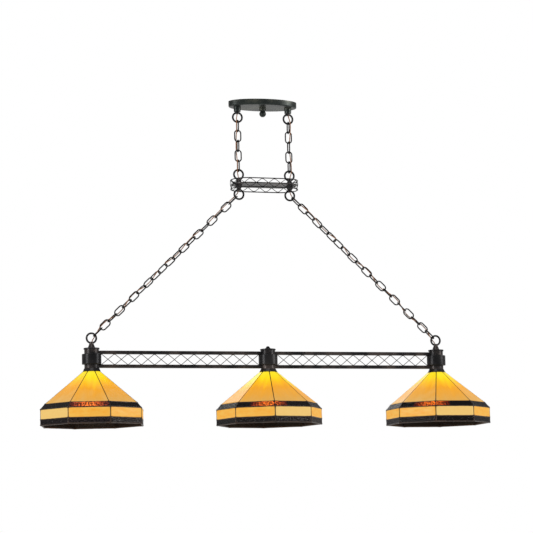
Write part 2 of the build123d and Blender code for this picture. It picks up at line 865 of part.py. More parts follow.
with BuildPart() as bulb_base:
    with BuildSketch(Plane.XY.offset(neck_top)):
        Circle(base_diameter / 2)
    extrude(amount=base_height)
    chamfer(bulb_base.edges().group_by(Axis.Z)[-1], length=4)

for side, x in hubs.items():
    save(glass_piece([shade_cap.part], side), f"{side}_shade_cap")
    save(glass_piece(cone_panes, side), f"{side}_cone_glass")
    save(glass_piece(skirt_panes, side), f"{side}_skirt_glass")
    save(glass_piece(shoulder_panes + rim_panes, side), f"{side}_border_glass")
    save(glass_piece([lead], side), f"{side}_lead_came")
    save(grouped([Pos(x, 0, 0) * bulb_glass.part]), f"{side}_bulb_glass")
    save(grouped([Pos(x, 0, 0) * bulb_base.part]), f"{side}_bulb_base")

print("ring heights", canopy_ring_z, spreader_ring_z, arm_ring_z, hub_ring_z, "rim", rim_foot)
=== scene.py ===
import bpy
import numpy as np
from math import cos, pi, radians, sin, tan
from mathutils import Matrix, Vector


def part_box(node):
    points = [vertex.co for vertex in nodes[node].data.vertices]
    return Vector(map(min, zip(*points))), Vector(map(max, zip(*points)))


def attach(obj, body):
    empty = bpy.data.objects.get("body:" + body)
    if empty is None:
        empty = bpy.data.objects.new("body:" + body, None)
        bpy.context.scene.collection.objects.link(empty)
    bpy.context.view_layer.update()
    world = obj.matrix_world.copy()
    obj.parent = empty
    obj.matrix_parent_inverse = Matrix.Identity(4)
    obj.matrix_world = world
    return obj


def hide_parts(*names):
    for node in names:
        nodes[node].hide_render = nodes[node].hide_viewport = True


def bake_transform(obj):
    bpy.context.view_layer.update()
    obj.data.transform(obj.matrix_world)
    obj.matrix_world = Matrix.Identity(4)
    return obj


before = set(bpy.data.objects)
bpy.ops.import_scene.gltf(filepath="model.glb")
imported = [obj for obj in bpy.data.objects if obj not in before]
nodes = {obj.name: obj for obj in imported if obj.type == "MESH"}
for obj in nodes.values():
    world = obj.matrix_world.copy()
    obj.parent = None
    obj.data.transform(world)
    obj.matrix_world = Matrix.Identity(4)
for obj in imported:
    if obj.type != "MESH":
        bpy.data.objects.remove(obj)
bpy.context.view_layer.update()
print("frame loaded:", len(nodes), "nodes")

# node tools
class Tree:
    # short words for building a node tree: a node with its inputs set, and links between sockets
    def __init__(self, tree):
        self.tree = tree

    def node(self, kind, inputs=None, **settings):
        made = self.tree.nodes.new("ShaderNode" + kind)
        for name, value in settings.items():
            setattr(made, name, value)
        self.fill(made, inputs or {})
        return made

    def fill(self, made, inputs):
        # an input takes either a link from a socket or a plain value
        for name, value in inputs.items():
            if isinstance(value, bpy.types.NodeSocket):
                self.tree.links.new(value, made.inputs[name])
            else:
                made.inputs[name].default_value = value

    def maths(self, operation, first, second=None):
        inputs = {0: first} if second is None else {0: first, 1: second}
        return self.node("Math", inputs, operation=operation).outputs[0]

    def ramp(self, factor, stops):
        made = self.node("ValToRGB", {"Fac": factor})
        elements = made.color_ramp.elements
        while len(elements) < len(stops):
            elements.new(0.5)
        for element, (position, color) in zip(elements, stops):
            element.position = position
            element.color = (*color, 1)
        return made.outputs["Color"]

    def span(self, value, low, high):
        # 0 at low, 1 at high, held beyond them
        made = self.node("MapRange", {"Value": value, "From Min": low, "From Max": high})
        return made.outputs["Result"]

    def noise(self, vector, scale, detail=3.0, roughness=0.5):
        inputs = {"Vector": vector, "Scale": scale, "Detail": detail, "Roughness": roughness}
        return self.node("TexNoise", inputs).outputs["Fac"]

    def mixColor(self, factor, first, second, blend="MIX"):
        made = self.node("Mix", data_type="RGBA", blend_type=blend)
        self.fill(made, {0: factor, 6: first, 7: second})
        return made.outputs[2]


# camera, lights and floor
cameraSettings = {
    "azimuth": -16.74,
    "distance": 6.2,
    "height": -1.317,
    "aim": (0.0015, 0.0, -0.496),
    "roll": -1.27,
    "lens": 142.4,
}


def makeCamera(settings):
    # stands on a circle round the lamp, aims at a point on it, then rolls about its own axis
    turn = radians(settings["azimuth"])
    place = Vector((sin(turn), -cos(turn), 0)) * settings["distance"]
    place.z = settings["height"]
    aim = Vector(settings["aim"])
    look = (aim - place).to_track_quat("-Z", "Y").to_matrix().to_4x4()
    data = bpy.data.cameras.new("camera")
    data.lens = settings["lens"]
    data.clip_end = 60
    camera = bpy.data.objects.new("camera", data)
    bpy.context.scene.collection.objects.link(camera)
    rolled = look @ Matrix.Rotation(radians(settings["roll"]), 4, "Z")
    camera.matrix_world = Matrix.Translation(place) @ rolled
    bpy.context.scene.camera = camera


studio = {
    "floorLevel": -2.1,
    "floorSize": 90.0,
    "floorGlow": 0.5,
    "floorColor": (0.86, 0.86, 0.85, 1),
    "worldColor": (1.0, 1.0, 1.0, 1),
    "worldStrength": 1.0,
    "roomStrength": 0.34,
    "lightAim": (0, 0, -0.6),
    "lights": [
        # place, size, watts
        ((-1.0, -2.4, 2.4), 2.4, 55),
        ((3.0, -1.6, 0.2), 0.6, 80),
        ((-3.2, -1.0, 0.0), 0.5, 60),
        ((0.3, 3.0, 1.6), 2.2, 40),
    ],
}


def makeStudio(settings):
    world = bpy.data.worlds.new("studioWorld")
    world.use_nodes = True
    background = world.node_tree.nodes["Background"]
    background.inputs["Color"].default_value = settings["worldColor"]
    # the lamp sees a dimmer room than the camera does, so dark metal stays dark
    build = Tree(world.node_tree)
    seen = build.node("LightPath").outputs["Is Camera Ray"]
    room, paper = settings["roomStrength"], settings["worldStrength"]
    strength = build.maths("ADD", build.maths("MULTIPLY", seen, paper - room), room)
    world.node_tree.links.new(strength, background.inputs["Strength"])
    bpy.context.scene.world = world
    half = settings["floorSize"] / 2
    level = settings["floorLevel"]
    corners = [(-half, -half, level), (half, -half, level), (half, half, level), (-half, half, level)]
    mesh = bpy.data.meshes.new("studioFloor")
    mesh.from_pydata(corners, [], [(0, 1, 2, 3)])
    floor = bpy.data.objects.new("studioFloor", mesh)
    bpy.context.scene.collection.objects.link(floor)
    floorMaterial = bpy.data.materials.new("studioFloor")
    floorMaterial.use_nodes = True
    shader = floorMaterial.node_tree.nodes["Principled BSDF"]
    shader.inputs["Base Color"].default_value = settings["floorColor"]
    shader.inputs["Roughness"].default_value = 0.7
    shader.inputs["Emission Color"].default_value = settings["floorColor"]
    shader.inputs["Emission Strength"].default_value = settings["floorGlow"]
    # clear from below, so that the shades can be looked up into
    paint = Tree(floorMaterial.node_tree)
    under = paint.node("NewGeometry").outputs["Backfacing"]
    clear = paint.node("BsdfTransparent").outputs[0]
    both = paint.node("MixShader", {0: under, 1: shader.outputs[0], 2: clear})
    end = floorMaterial.node_tree.nodes["Material Output"]
    floorMaterial.node_tree.links.new(both.outputs[0], end.inputs["Surface"])
    mesh.materials.append(floorMaterial)
    for number, (place, size, watts) in enumerate(settings["lights"]):
        light = bpy.data.lights.new(f"softLight{number}", "AREA")
        light.size = size
        light.energy = watts
        holder = bpy.data.objects.new(f"softLight{number}", light)
        bpy.context.scene.collection.objects.link(holder)
        aim = Vector(settings["lightAim"]) - Vector(place)
        towards = aim.to_track_quat("-Z", "Y").to_matrix().to_4x4()
        holder.matrix_world = Matrix.Translation(place) @ towards


makeCamera(cameraSettings)
makeStudio(studio)
bpy.context.scene.view_settings.view_transform = "Standard"
print("camera and studio ready")


def newGroup(name, inputs, outputs):
    group = bpy.data.node_groups.new(name, "ShaderNodeTree")
    for socketName, socketType in inputs:
        group.interface.new_socket(name=socketName, in_out="INPUT", socket_type=socketType)
    for socketName, socketType in outputs:
        group.interface.new_socket(name=socketName, in_out="OUTPUT", socket_type=socketType)
    source, target = group.nodes.new("NodeGroupInput"), group.nodes.new("NodeGroupOutput")
    return group, Tree(group), source, target


floatSocket, vectorSocket = "NodeSocketFloat", "NodeSocketVector"


def newMaterial(name):
    material = bpy.data.materials.new(name)
    material.use_nodes = True
    build = Tree(material.node_tree)
    shader = material.node_tree.nodes["Principled BSDF"]
    place = build.node("TexCoord").outputs["Object"]
    return material, build, shader, place


def addGroup(build, group, inputs):
    made = build.tree.nodes.new("ShaderNodeGroup")
    made.node_tree = group
    build.fill(made, inputs)
    return made


# effects that several materials share
def makePatina():
    # uneven blackened finish: broad cloudy tone, fine grain and rubbed high spots
    sockets = [("Vector", vectorSocket), ("CloudScale", floatSocket), ("GrainScale", floatSocket)]
    outputs = [("Tone", floatSocket), ("Rubbed", floatSocket), ("Grain", floatSocket)]
    group, build, source, target = newGroup("patina", sockets, outputs)
    cloud = build.noise(source.outputs["Vector"], source.outputs["CloudScale"], 4.0, 0.6)
    grain = build.noise(source.outputs["Vector"], source.outputs["GrainScale"], 5.0, 0.7)
    tone = build.span(cloud, 0.32, 0.68)
    pointed = build.span(build.node("NewGeometry").outputs["Pointiness"], 0.51, 0.58)
    speck = build.span(build.maths("ADD", cloud, grain), 0.95, 1.15)
    rubbed = build.maths("MULTIPLY", pointed, speck)
    for name, value in (("Tone", tone), ("Rubbed", rubbed), ("Grain", grain)):
        group.links.new(value, target.inputs[name])
    return group


def makePaneFrame():
    # places on an eight-sided shade whose axis is at the vector's origin: how far across its own
    # pane a point is in metres, the pane's number and its own two random numbers, and the turn
    # round the axis counted in panes
    sockets = [("Vector", vectorSocket), ("Seed", floatSocket)]
    outputs = [
        ("Across", floatSocket),
        ("Pane", floatSocket),
        ("Chance", floatSocket),
        ("Second", floatSocket),
        ("Turn", floatSocket),
    ]
    group, build, source, target = newGroup("paneFrame", sockets, outputs)
    parts = build.node("SeparateXYZ", {0: source.outputs["Vector"]})
    x, y = parts.outputs[0], parts.outputs[1]
    angle = build.maths("ARCTAN2", y, x)
    panes = build.maths("DIVIDE", angle, pi / 4)
    pane = build.maths("FLOOR", panes)
    share = build.maths("SUBTRACT", build.maths("FRACT", panes), 0.5)
    squares = build.maths("ADD", build.maths("MULTIPLY", x, x), build.maths("MULTIPLY", y, y))
    radius = build.maths("SQRT", squares)
    across = build.maths("MULTIPLY", radius, build.maths("SINE", build.maths("MULTIPLY", share, pi / 4)))
    seeded = build.maths("ADD", pane, source.outputs["Seed"])
    chance = build.node("TexWhiteNoise", {"W": seeded}, noise_dimensions="1D")
    second = build.node("TexWhiteNoise", {"W": build.maths("ADD", seeded, 31.7)}, noise_dimensions="1D")
    results = {
        "Across": across,
        "Pane": pane,
        "Chance": chance.outputs["Value"],
        "Second": second.outputs["Value"],
        "Turn": panes,
    }
    for name, value in results.items():
        group.links.new(value, target.inputs[name])
    return group


def makeStreaks():
    # drawn-out cloudy streaks of rolled art glass, running along the vector's second axis
    sockets = [("Vector", vectorSocket), ("Scale", floatSocket), ("Length", floatSocket)]
    outputs = [("Streak", floatSocket), ("Wisp", floatSocket), ("Ripple", floatSocket)]
    group, build, source, target = newGroup("glassStreaks", sockets, outputs)
    squeeze = build.node("CombineXYZ", {0: 1.0, 1: source.outputs["Length"], 2: 1.0})
    drawn = build.node(
        "VectorMath", {0: source.outputs["Vector"], 1: squeeze.outputs[0]}, operation="MULTIPLY"
    ).outputs[0]
    broad = build.noise(drawn, source.outputs["Scale"], 4.0, 0.55)
    fine = build.noise(drawn, build.maths("MULTIPLY", source.outputs["Scale"], 5.0), 3.0, 0.6)
    wisp = build.noise(source.outputs["Vector"], build.maths("MULTIPLY", source.outputs["Scale"], 0.6))
    group.links.new(build.span(broad, 0.3, 0.7), target.inputs["Streak"])
    group.links.new(build.span(wisp, 0.35, 0.65), target.inputs["Wisp"])
    group.links.new(fine, target.inputs["Ripple"])
    return group


patina, paneFrame, glassStreaks = makePatina(), makePaneFrame(), makeStreaks()


# metal
def makeBlackBronze(name, dark, light, rough, grainScale):
    material, build, shader, place = newMaterial(name)
    wear = addGroup(build, patina, {"Vector": place, "CloudScale": 18.0, "GrainScale": grainScale})
    tone = build.mixColor(wear.outputs["Tone"], (*dark, 1), (*light, 1))
    rubbedColor = (light[0] * 3.2, light[1] * 2.5, light[2] * 2.1, 1)
    color = build.mixColor(wear.outputs["Rubbed"], tone, rubbedColor)
    grain = build.span(wear.outputs["Grain"], 0.3, 0.7)
    roughness = build.maths("ADD", build.maths("MULTIPLY", grain, 0.14), rough)
    bump = build.node("Bump", {"Height": wear.outputs["Grain"], "Strength": 0.12, "Distance": 0.0006})
    build.fill(shader, {
        "Base Color": color,
        "Roughness": roughness,
        "Normal": bump.outputs["Normal"],
        "Metallic": 0.5,
        "Specular IOR Level": 0.25,
    })
    return material


bronzeMetal = makeBlackBronze("blackenedBronze", (0.005, 0.005, 0.006), (0.017, 0.017, 0.018), 0.26, 700.0)
chainMetal = makeBlackBronze("chainBronze", (0.002, 0.002, 0.002), (0.008, 0.007, 0.007), 0.3, 900.0)
# the canopy is painted lighter and greener than the other bronze: a painted reflection of the pale floor on
# its underside, given to the whole canopy
canopyMetalAndReflection = makeBlackBronze("canopyBronzeAndReflection", (0.010, 0.013, 0.012), (0.020, 0.026, 0.024), 0.3, 500.0)


def makeZincSteel():
    material, build, shader, place = newMaterial("zincSteel")
    wear = addGroup(build, patina, {"Vector": place, "CloudScale": 40.0, "GrainScale": 900.0})
    color = build.mixColor(wear.outputs["Tone"], (0.45, 0.45, 0.43, 1), (0.62, 0.62, 0.6, 1))
    roughness = build.span(wear.outputs["Grain"], 0.1, 1.4)
    bump = build.node("Bump", {"Height": wear.outputs["Grain"], "Strength": 0.1, "Distance": 0.0004})
    build.fill(shader, {
        "Base Color": color, "Roughness": roughness, "Normal": bump.outputs["Normal"], "Metallic": 1.0,
    })
    return material


def makeLead():
    material, build, shader, place = newMaterial("patinatedLead")
    wear = addGroup(build, patina, {"Vector": place, "CloudScale": 45.0, "GrainScale": 600.0})
    tone = build.mixColor(wear.outputs["Tone"], (0.012, 0.008, 0.006, 1), (0.04, 0.022, 0.014, 1))
    bump = build.node("Bump", {"Height": wear.outputs["Grain"], "Strength": 0.25, "Distance": 0.0008})
    roughness = build.maths("ADD", build.maths("MULTIPLY", wear.outputs["Tone"], 0.2), 0.3)
    build.fill(shader, {
        "Base Color": tone, "Roughness": roughness, "Normal": bump.outputs["Normal"], "Metallic": 0.6,
    })
    return material


def makePlastic(name, low, high, rough):
    material, build, shader, place = newMaterial(name)
    tone = build.noise(place, 60.0)
    grain = build.noise(place, 1200.0, 2.0)
    bump = build.node("Bump", {"Height": grain, "Strength": 0.15, "Distance": 0.0003})
    build.fill(shader, {
        "Base Color": build.mixColor(tone, (*low, 1), (*high, 1)),
        "Roughness": build.maths("ADD", build.maths("MULTIPLY", grain, 0.2), rough),
        "Normal": bump.outputs["Normal"],
    })
    return material


zincSteel, lead = makeZincSteel(), makeLead()
socketPlastic = makePlastic("phenolic", (0.012, 0.011, 0.01), (0.03, 0.026, 0.022), 0.35)
connectorPlastic = makePlastic("connectorPlastic", (0.55, 0.16, 0.03), (0.7, 0.24, 0.05), 0.4)


def makeCordJacket():
    # two-ply twist on the jacket: fine diagonal lines from the height and the angle of the place
    material, build, shader, place = newMaterial("cordJacket")
    settings = {"Vector": place, "Scale": 260.0, "Distortion": 1.5}
    wave = build.node("TexWave", settings, bands_direction="DIAGONAL")
    tone = build.noise(place, 90.0)
    color = build.mixColor(tone, (0.12, 0.045, 0.016, 1), (0.3, 0.13, 0.05, 1))
    bump = build.node("Bump", {"Height": wave.outputs["Fac"], "Strength": 0.3, "Distance": 0.0004})
    build.fill(shader, {
        "Base Color": color,
        "Roughness": build.maths("ADD", build.maths("MULTIPLY", tone, 0.2), 0.38),
        "Normal": bump.outputs["Normal"],
    })
    return material


cordJacket = makeCordJacket()
print("metals and cord ready")

# glass of the shades
hubX = {}
for side in ("left", "centre", "right"):
    low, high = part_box(f"{side}_shade_cap")
    hubX[side] = (low[0] + high[0]) / 2
shadeTurn = {"left": 7.4, "centre": -10.3, "right": 21.7}  # first corner, degrees from +X
coneLow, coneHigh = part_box("centre_cone_glass")
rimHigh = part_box("centre_border_glass")[1]

# colours of the amber cone glass and of its painted glow: emission stands in for the bulb's light shining
# through the glass, hotter and yellower towards the top, nearest the bulb
amberAndPaintedGlow = {
    "foot": (0.70, 0.37, 0.07),
    "low": (0.78, 0.36, 0.035),
    "middle": (0.86, 0.37, 0.014),
    "high": (0.98, 0.52, 0.004),
    "top": (1.0, 0.72, 0.003),
    "hot": (1.0, 0.82, 0.03),
    "pale": (0.74, 0.50, 0.18),
    "glow": 0.92,
}


def shadePlace(build, place, side):
    # turned so that the shade's axis is the origin and its first corner points along X
    inputs = {"Vector": place, "Location": (-hubX[side], 0, 0)}
    moved = build.node("Mapping", inputs).outputs["Vector"]
    turned = {"Vector": moved, "Rotation": (0, 0, radians(-shadeTurn[side]))}
    return build.node("Mapping", turned).outputs["Vector"]


def makeConeGlass(side, seed):
    material, build, shader, place = newMaterial(f"{side}ConeGlass")
    local = shadePlace(build, place, side)
    pane = addGroup(build, paneFrame, {"Vector": local, "Seed": seed})
    height = build.node("SeparateXYZ", {0: place}).outputs[2]
    sheet = build.node(
        "CombineXYZ",
        {0: pane.outputs["Across"], 1: height, 2: build.maths("MULTIPLY", pane.outputs["Pane"], 0.9)},
    ).outputs[0]
    streaks = addGroup(build, glassStreaks, {"Vector": sheet, "Scale": 70.0, "Length": 0.16})
    # painted light falloff: the glow ramp below climbs with this height, so the glass is brightest near the
    # bulb at the top
    rise = build.span(height, coneLow[2], coneHigh[2])
    wander = build.maths("MULTIPLY", build.maths("SUBTRACT", streaks.outputs["Streak"], 0.5), 0.16)
    uneven = build.maths("MULTIPLY", build.maths("SUBTRACT", pane.outputs["Chance"], 0.5), 0.22)
    level = build.maths("ADD", build.maths("ADD", rise, wander), uneven)
    glow = build.ramp(level, [
        (0.0, amberAndPaintedGlow["foot"]), (0.2, amberAndPaintedGlow["low"]), (0.42, amberAndPaintedGlow["middle"]),
        (0.6, amberAndPaintedGlow["high"]), (0.78, amberAndPaintedGlow["top"]), (1.0, amberAndPaintedGlow["hot"]),
    ])
    # pale wisps of the glass itself, thinned towards the top where the painted glow is hottest
    wisps = build.maths("MULTIPLY", pane.outputs["Second"], streaks.outputs["Wisp"])
    paleShare = build.maths("MULTIPLY", wisps, 0.55)
    fade = build.maths("MULTIPLY", paleShare, build.maths("SUBTRACT", 1.0, rise))
    tinted = build.mixColor(fade, glow, (*amberAndPaintedGlow["pale"], 1))
    ripple = build.span(streaks.outputs["Ripple"], 0.25, 0.75)
    grained = build.mixColor(build.maths("MULTIPLY", ripple, 0.14), tinted, (0.55, 0.3, 0.08, 1), "MULTIPLY")
    bump = build.node("Bump", {"Height": streaks.outputs["Ripple"], "Strength": 0.25, "Distance": 0.0012})
    # the emission is painted bulb light, not light that the glass gives off itself
    build.fill(shader, {
        "Base Color": build.mixColor(0.84, grained, (0.0, 0.0, 0.0, 1)),
        "Specular IOR Level": 0.25,
        "Emission Color": grained,
        "Emission Strength": amberAndPaintedGlow["glow"],
        "Roughness": build.maths("ADD", build.maths("MULTIPLY", ripple, 0.12), 0.3),
        "Normal": bump.outputs["Normal"],
    })
    return material


# colours of the honey skirt glass; its "glow" is the strength of painted bulb light, given as emission
honey = {
    "light": (0.86, 0.50, 0.085),
    "dark": (0.86, 0.38, 0.03),
    "pale": (0.80, 0.58, 0.20),
    "glow": 0.86,
    "palePane": {"left": -4, "centre": -2, "right": -3},
}


def makeSkirtGlass(side, seed):
    material, build, shader, place = newMaterial(f"{side}SkirtGlass")
    local = shadePlace(build, place, side)
    pane = addGroup(build, paneFrame, {"Vector": local, "Seed": seed})
    height = build.node("SeparateXYZ", {0: place}).outputs[2]
    sheet = build.node(
        "CombineXYZ",
        {0: height, 1: pane.outputs["Across"], 2: build.maths("MULTIPLY", pane.outputs["Pane"], 0.9)},
    ).outputs[0]
    streaks = addGroup(build, glassStreaks, {"Vector": sheet, "Scale": 110.0, "Length": 0.3})
    mixed = build.mixColor(streaks.outputs["Streak"], (*honey["dark"], 1), (*honey["light"], 1))
    # the paler pane of each shade: partly the glass's own paler colour, partly a painted reflection of lamp
    # glare
    offPale = build.maths("ABSOLUTE", build.maths("SUBTRACT", pane.outputs["Pane"], honey["palePane"][side]))
    paleShare = build.span(offPale, 0.6, 0.4)
    tinted = build.mixColor(build.maths("MULTIPLY", paleShare, 0.75), mixed, (*honey["pale"], 1))
    ripple = build.span(streaks.outputs["Ripple"], 0.25, 0.75)
    grained = build.mixColor(build.maths("MULTIPLY", ripple, 0.18), tinted, (0.6, 0.34, 0.1, 1), "MULTIPLY")
    bump = build.node("Bump", {"Height": streaks.outputs["Ripple"], "Strength": 0.25, "Distance": 0.0012})
    # the emission is painted bulb light shining through the glass
    build.fill(shader, {
        "Base Color": build.mixColor(0.84, grained, (0.0, 0.0, 0.0, 1)),
        "Specular IOR Level": 0.25,
        "Emission Color": grained,
        "Emission Strength": honey["glow"],
        "Roughness": build.maths("ADD", build.maths("MULTIPLY", ripple, 0.12), 0.3),
        "Normal": bump.outputs["Normal"],
    })
    return material


# colours of the dark border glass; the ember and spark colours and "glow" are painted bulb light given as
# emission, placed on the panes listed in "at"
ruby = {
    "body": (0.0018, 0.0012, 0.0012),
    "mottleAndSheen": (0.034, 0.024, 0.028),
    "ember": (0.50, 0.040, 0.004),
    "spark": (1.0, 0.27, 0.02),
    "glow": 2.2,
    "at": {"left": -2.5, "centre": -2.15, "right": -3.12},  # where the embers lie, in panes
}


def makeBorderGlass(side, seed):
    # dark ripple glass: nearly black, with embers of painted bulb glow where the lamp's light shines through
    # the ripples
    material, build, shader, place = newMaterial(f"{side}BorderGlass")
    local = shadePlace(build, place, side)
    pane = addGroup(build, paneFrame, {"Vector": local, "Seed": seed})
    height = build.node("SeparateXYZ", {0: place}).outputs[2]
    upper = build.span(height, rimHigh[2] - 0.021, rimHigh[2] - 0.012)
    places = {0: pane.outputs["Across"], 1: height, 2: pane.outputs["Pane"]}
    sheet = build.node("CombineXYZ", places).outputs[0]
    ripple = build.noise(sheet, 230.0, 3.0, 0.6)
    fleck = build.noise(sheet, 420.0, 2.0, 0.5)
    # how many panes away from the painted embers of bulb glow, which lie on two opposite sides, four panes
    # apart
    quarter = build.maths("MULTIPLY", build.maths("SUBTRACT", pane.outputs["Turn"], ruby["at"][side]), 0.25)
    wrapped = build.maths("SUBTRACT", build.maths("FRACT", build.maths("ADD", quarter, 0.5)), 0.5)
    aside = build.maths("MULTIPLY", build.maths("ABSOLUTE", wrapped), 4.0)
    middle = build.span(aside, 0.52, 0.12)
    lit = build.maths("MULTIPLY", build.maths("MULTIPLY", middle, upper), build.span(ripple, 0.42, 0.62))
    core = build.maths("MULTIPLY", build.span(fleck, 0.42, 0.62), build.span(aside, 0.45, 0.05))
    ember = build.mixColor(core, (*ruby["ember"], 1), (*ruby["spark"], 1))
    glow = build.mixColor(lit, (0.0, 0.0, 0.0, 1), ember)
    # paler patches on some panes: partly the glass's own mottle, partly a painted sheen of reflected light
    share = build.span(pane.outputs["Chance"], 0.3, 0.9)
    sheen = build.maths("MULTIPLY", build.span(ripple, 0.45, 0.7), share)
    body = build.mixColor(sheen, (*ruby["body"], 1), (*ruby["mottleAndSheen"], 1))
    bump = build.node("Bump", {"Height": ripple, "Strength": 0.7, "Distance": 0.002})
    # the emission is painted bulb glow
    build.fill(shader, {
        "Base Color": body,
        "Specular IOR Level": 0.12,
        "Emission Color": glow,
        "Emission Strength": ruby["glow"],
        "Roughness": build.maths("ADD", build.maths("MULTIPLY", fleck, 0.2), 0.12),
        "Normal": bump.outputs["Normal"],
    })
    return material


# each seed deals out the paler and the darker panes of one shade's cone and border glass; the skirt's seed
# changes nothing, its paler pane is given in honey
paneSeeds = {
    "left": {"cone": 3.0, "skirt": 7.0, "border": 9.0},
    "centre": {"cone": 14.0, "skirt": 21.0, "border": 32.0},
    "right": {"cone": 25.0, "skirt": 38.0, "border": 55.0},
}
glassMaterials = {}
for side, seeds in paneSeeds.items():
    glassMaterials[side] = {
        "cone": makeConeGlass(side, seeds["cone"]),
        "skirt": makeSkirtGlass(side, seeds["skirt"]),
        "border": makeBorderGlass(side, seeds["border"]),
    }


def makeBulbGlass():
    material, build, shader, place = newMaterial("bulbGlass")
    cloud = build.noise(place, 40.0)
    glow = build.mixColor(cloud, (1.0, 0.78, 0.45, 1), (1.0, 0.88, 0.62, 1))
    build.fill(shader, {
        "Base Color": glow, "Emission Color": glow, "Emission Strength": 2.5,
        "Roughness": build.maths("ADD", build.maths("MULTIPLY", cloud, 0.2), 0.3),
    })
    return material


bulbGlass = makeBulbGlass()
print("glass ready")

# finishes of the CAD nodes
finishes = {
    "left_lead_link": chainMetal, "right_lead_link": chainMetal, "left_hanger_links": chainMetal,
    "right_hanger_links": chainMetal, "arm_chains": chainMetal, "canopy_pan": canopyMetalAndReflection,
    "canopy_collars": canopyMetalAndReflection, "canopy_knob": canopyMetalAndReflection, "mounting_strap": zincSteel,
    "mounting_stud": zincSteel, "loop_nuts": zincSteel, "hub_rods": zincSteel,
    "spreader_rods": zincSteel, "wire_connectors": connectorPlastic, "lamp_sockets": socketPlastic,
}
for name, node in nodes.items():
    side = name.split("_")[0]
    if name.endswith("cone_glass"):
        finish = glassMaterials[side]["cone"]
    elif name.endswith("skirt_glass"):
        finish = glassMaterials[side]["skirt"]
    elif name.endswith("border_glass"):
        finish = glassMaterials[side]["border"]
    elif name.endswith("lead_came"):
        finish = lead
    elif name.endswith("bulb_glass"):
        finish = bulbGlass
    elif name.endswith("bulb_base"):
        finish = zincSteel
    elif "cord" in name or name == "bar_wires":
        finish = cordJacket
    else:
        finish = finishes.get(name, bronzeMetal)
    node.data.materials.clear()
    node.data.materials.append(finish)
print("CAD nodes finished")

# shapes worked out on grids
def addMesh(name, points, faceArrays, material):
    # the arrays may hold faces of three or of four corners
    faces = [face for array in faceArrays for face in array.tolist()]
    mesh = bpy.data.meshes.new(name)
    mesh.from_pydata(points.reshape(-1, 3).tolist(), [], faces)
    mesh.materials.append(material)
    mesh.polygons.foreach_set("use_smooth", np.full(len(faces), True))
    mesh.update()
    piece = bpy.data.objects.new(name, mesh)
    bpy.context.scene.collection.objects.link(piece)
    return piece


def gridFaces(rows, columns, start=0, aroundColumns=False):
    # four-cornered faces between neighbouring rows and columns of a grid of points
    columnCount = columns if aroundColumns else columns - 1
    row, column = np.meshgrid(np.arange(rows - 1), np.arange(columnCount), indexing="ij")
    nextRow, nextColumn = row + 1, (column + 1) % columns
    corners = [(row, column), (row, nextColumn), (nextRow, nextColumn), (nextRow, column)]
    return start + np.stack([r * columns + c for r, c in corners], -1).reshape(-1, 4)


def waves(points, scale, seed):
    # a smooth bumpy value between -1 and 1: eleven sines along chance directions, added up
    chance = np.random.default_rng(seed)
    directions = chance.normal(size=(11, 3)) / scale
    phases = chance.uniform(0, 2 * pi, 11)
    return np.sin(points @ directions.T + phases).sum(-1) / 5.5


def tubeAlong(path, radius, around):
    # a circle carried along a path: its plane is square to the path, its radius may change along it
    along = np.gradient(path, axis=0)
    along /= np.linalg.norm(along, axis=1, keepdims=True)
    lead = np.cross(along, (0.31, 0.87, 0.38))
    lead /= np.linalg.norm(lead, axis=1, keepdims=True)
    side = np.cross(along, lead)
    angle = np.linspace(0, 2 * pi, around, endpoint=False)
    rings = lead[:, None] * np.cos(angle)[:, None] + side[:, None] * np.sin(angle)[:, None]
    radii = np.reshape(radius, (len(path), -1))  # one a ring, or one a point
    return path[:, None] + rings * radii[..., None]


def tubeWithEnds(path, radius, around):
    # an open tube whose ends are closed by a point at each end of the path
    rings = tubeAlong(path, radius, around)
    rows = len(path)
    body = gridFaces(rows, around, aroundColumns=True)[:, ::-1]
    points = np.concatenate([rings.reshape(-1, 3), path[:1], path[-1:]])
    index = np.arange(around)
    after = (index + 1) % around
    last = (rows - 1) * around
    first = np.stack([index, after, np.full(around, rows * around)], -1)
    final = np.stack([last + after, last + index, np.full(around, rows * around + 1)], -1)
    return points, body, np.concatenate([first, final])


# leaded shades: the panes and the soldered came
shadeShape = {
    "across": 0.288,  # over the flats
    "glass": 0.003,
    "came": 0.002,
    "coneHeight": 0.097,
    "shoulderHeight": 0.0145,
    "skirtHeight": 0.029,
    "rimHeight": 0.0155,
    "shoulderRatio": 0.916,
    "topApothem": 0.0226,
    "tuck": 0.45,  # how far a pane's edge runs in under the came, a share of the came's radius
    "panes": 8,
}


def shadeProfile(shape):
    # distances from the axis and heights of the five level lines, from the cap down
    skirt = (shape["across"] - shape["glass"]) / 2
    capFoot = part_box("centre_shade_cap")[0][2]
    coneFoot = capFoot - shape["coneHeight"]
    shoulderFoot = coneFoot - shape["shoulderHeight"]
    skirtFoot = shoulderFoot - shape["skirtHeight"]
    return {
        "top": (shape["topApothem"], capFoot - shape["came"]),
        "cone": (shape["shoulderRatio"] * skirt, coneFoot),
        "shoulder": (skirt, shoulderFoot),
        "skirt": (skirt, skirtFoot),
        "rim": (skirt, skirtFoot - shape["rimHeight"]),
    }


profile = shadeProfile(shadeShape)
halfTurn = pi / shadeShape["panes"]


def placeOnShade(points, side, turn):
    # turned about the shade's axis and carried out to its hub
    angle = radians(shadeTurn[side]) + turn
    x, y, z = points[..., 0], points[..., 1], points[..., 2]
    turned = (x * cos(angle) - y * sin(angle) + hubX[side], x * sin(angle) + y * cos(angle), z)
    return np.stack(turned, -1)


